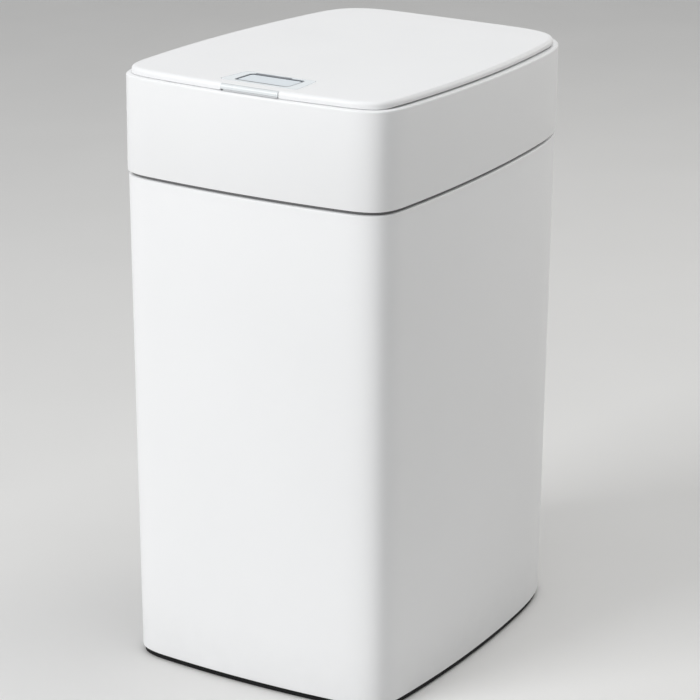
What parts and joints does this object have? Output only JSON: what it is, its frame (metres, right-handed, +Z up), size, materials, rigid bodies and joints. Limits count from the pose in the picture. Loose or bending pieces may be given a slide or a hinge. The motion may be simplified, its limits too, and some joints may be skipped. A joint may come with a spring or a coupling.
{
  "type": "bathroom_bin_with_toilet_brush",
  "caption": "Slim bathroom bin with a motor-driven sensor lid, a lift-out waste bucket and a toilet brush stored in a cell inside, behind the bucket.",
  "frame": {"origin": "on the floor, under the middle of the bin's outline", "axes": "+X to the right when facing the short front, +Y to the back, +Z up"},
  "size_m": [0.2296, 0.316, 0.4508],
  "materials": {
    "white": "satin moulded, cool white",
    "inner_white": "fine matt moulded",
    "light_grey": "fine matt moulded",
    "mid_grey": "fine matt moulded",
    "black": "satin black",
    "rubber": "matt",
    "soft_rubber": "soft matt",
    "frosted": "frosted, slightly see-through",
    "steel": "plain",
    "zinc": "plain pressed",
    "gear_plastic": "natural acetal",
    "board": "lacquered board",
    "inlay": "glossy pale blue-silver",
    "key": "glossy pale blue-silver",
    "window": "glossy grey"
  },
  "bodies": {
    "barrel": {"outer_barrel": "white", "base_plinth": "black", "foot_pad_1": "rubber", "foot_pad_2": "rubber", "foot_pad_3": "rubber", "foot_pad_4": "rubber", "seam_gasket": "rubber", "inner_bucket": "light_grey", "bag_ring": "mid_grey", "brush_cell": "light_grey", "brush_cup": "frosted", "brush_head": "soft_rubber", "brush_stem": "steel", "brush_handle": "inner_white", "brush_guard": "mid_grey"},
    "head": {"head_shell": "white", "spigot_ring": "mid_grey", "head_deck": "inner_white", "rear_cover": "inner_white", "cover_screw_left": "steel", "cover_screw_right": "steel", "hinge_bracket_left": "zinc", "hinge_bracket_right": "zinc", "hinge_pin_left": "steel", "hinge_pin_right": "steel", "gearbox_case": "black", "drive_motor": "steel", "motor_bracket": "zinc", "service_plate": "mid_grey", "plate_screw_left": "steel", "plate_screw_right": "steel", "battery_box": "mid_grey", "battery_1": "steel", "battery_2": "steel", "battery_3": "steel", "battery_4": "steel", "circuit_board": "board", "switch_case": "black"},
    "lid": {"lid_panel": "white", "lid_liner": "inner_white", "lid_arm_left": "mid_grey", "lid_arm_right": "mid_grey", "sector_gear": "gear_plastic", "sensor_bezel": "inlay", "sensor_window": "window", "sensor_board": "board", "lid_bumper_1": "rubber", "lid_bumper_2": "rubber", "lid_bumper_3": "rubber", "lid_bumper_4": "rubber", "button_spring": "steel"},
    "button": {"open_button": "key"},
    "pinion": {"drive_pinion": "gear_plastic"},
    "battery_door": {"battery_door": "white"},
    "switch_knob": {"switch_knob": "black"}
  },
  "joints": [
    {"name": "head_lift", "type": "slide", "parent": "barrel", "child": "head", "axis": [0, 0, 1], "range_m": [0, 0.12]},
    {"name": "lid_hinge", "type": "hinge", "parent": "head", "child": "lid", "pos_m": [0, 0.1316, 0.43938], "axis": [-1, 0, 0], "range_deg": [0, 78]},
    {"name": "pinion_spin", "type": "hinge", "parent": "head", "child": "pinion", "pos_m": [0, 0.12029, 0.42806], "axis": [-1, 0, 0], "range_deg": [-172, 0]},
    {"name": "button_press", "type": "slide", "parent": "lid", "child": "button", "axis": [0, 0, -1], "range_m": [0, 0.0015], "stiffness_N_per_m": 600, "springref_m": -0.001, "deforming": ["button_spring"]},
    {"name": "battery_door_pull", "type": "slide", "parent": "head", "child": "battery_door", "axis": [0, 1, 0], "range_m": [0, 0.012]},
    {"name": "power_switch", "type": "slide", "parent": "head", "child": "switch_knob", "axis": [1, 0, 0], "range_m": [0, 0.004]}
  ],
  "couplings": [
    {"joint": "pinion_spin", "follows": "lid_hinge", "ratio": -2.2}
  ]
}
